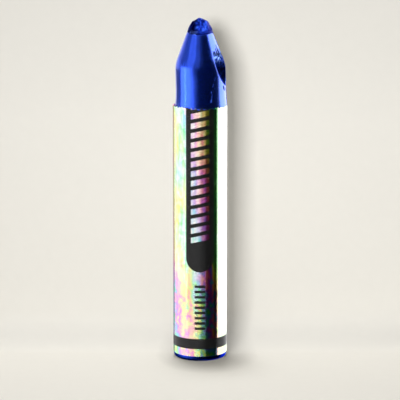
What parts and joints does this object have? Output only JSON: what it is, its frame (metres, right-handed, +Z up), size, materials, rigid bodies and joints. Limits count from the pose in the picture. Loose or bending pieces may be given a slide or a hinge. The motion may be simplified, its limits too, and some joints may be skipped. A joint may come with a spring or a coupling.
{
  "type": "wax crayon",
  "caption": "Round wax crayon with a worn, chipped cone tip, in a rolled foil-paper wrapper with a torn top edge.",
  "frame": {"origin": "centre of the flat base", "axes": "+Z up the crayon's axis towards its worn point, -Y the printed front, +X to the right of the print"},
  "size_m": [0.0112, 0.0113, 0.0702],
  "materials": {
    "wax": "glossy strong blue wax, duller and darker where it is broken",
    "foil_paper": "silvery rainbow foil on paper, printed with a near-black panel, ticks and band"
  },
  "bodies": {
    "root": {"wax_stick": "wax", "wrapper": "foil_paper"}
  },
  "joints": []
}
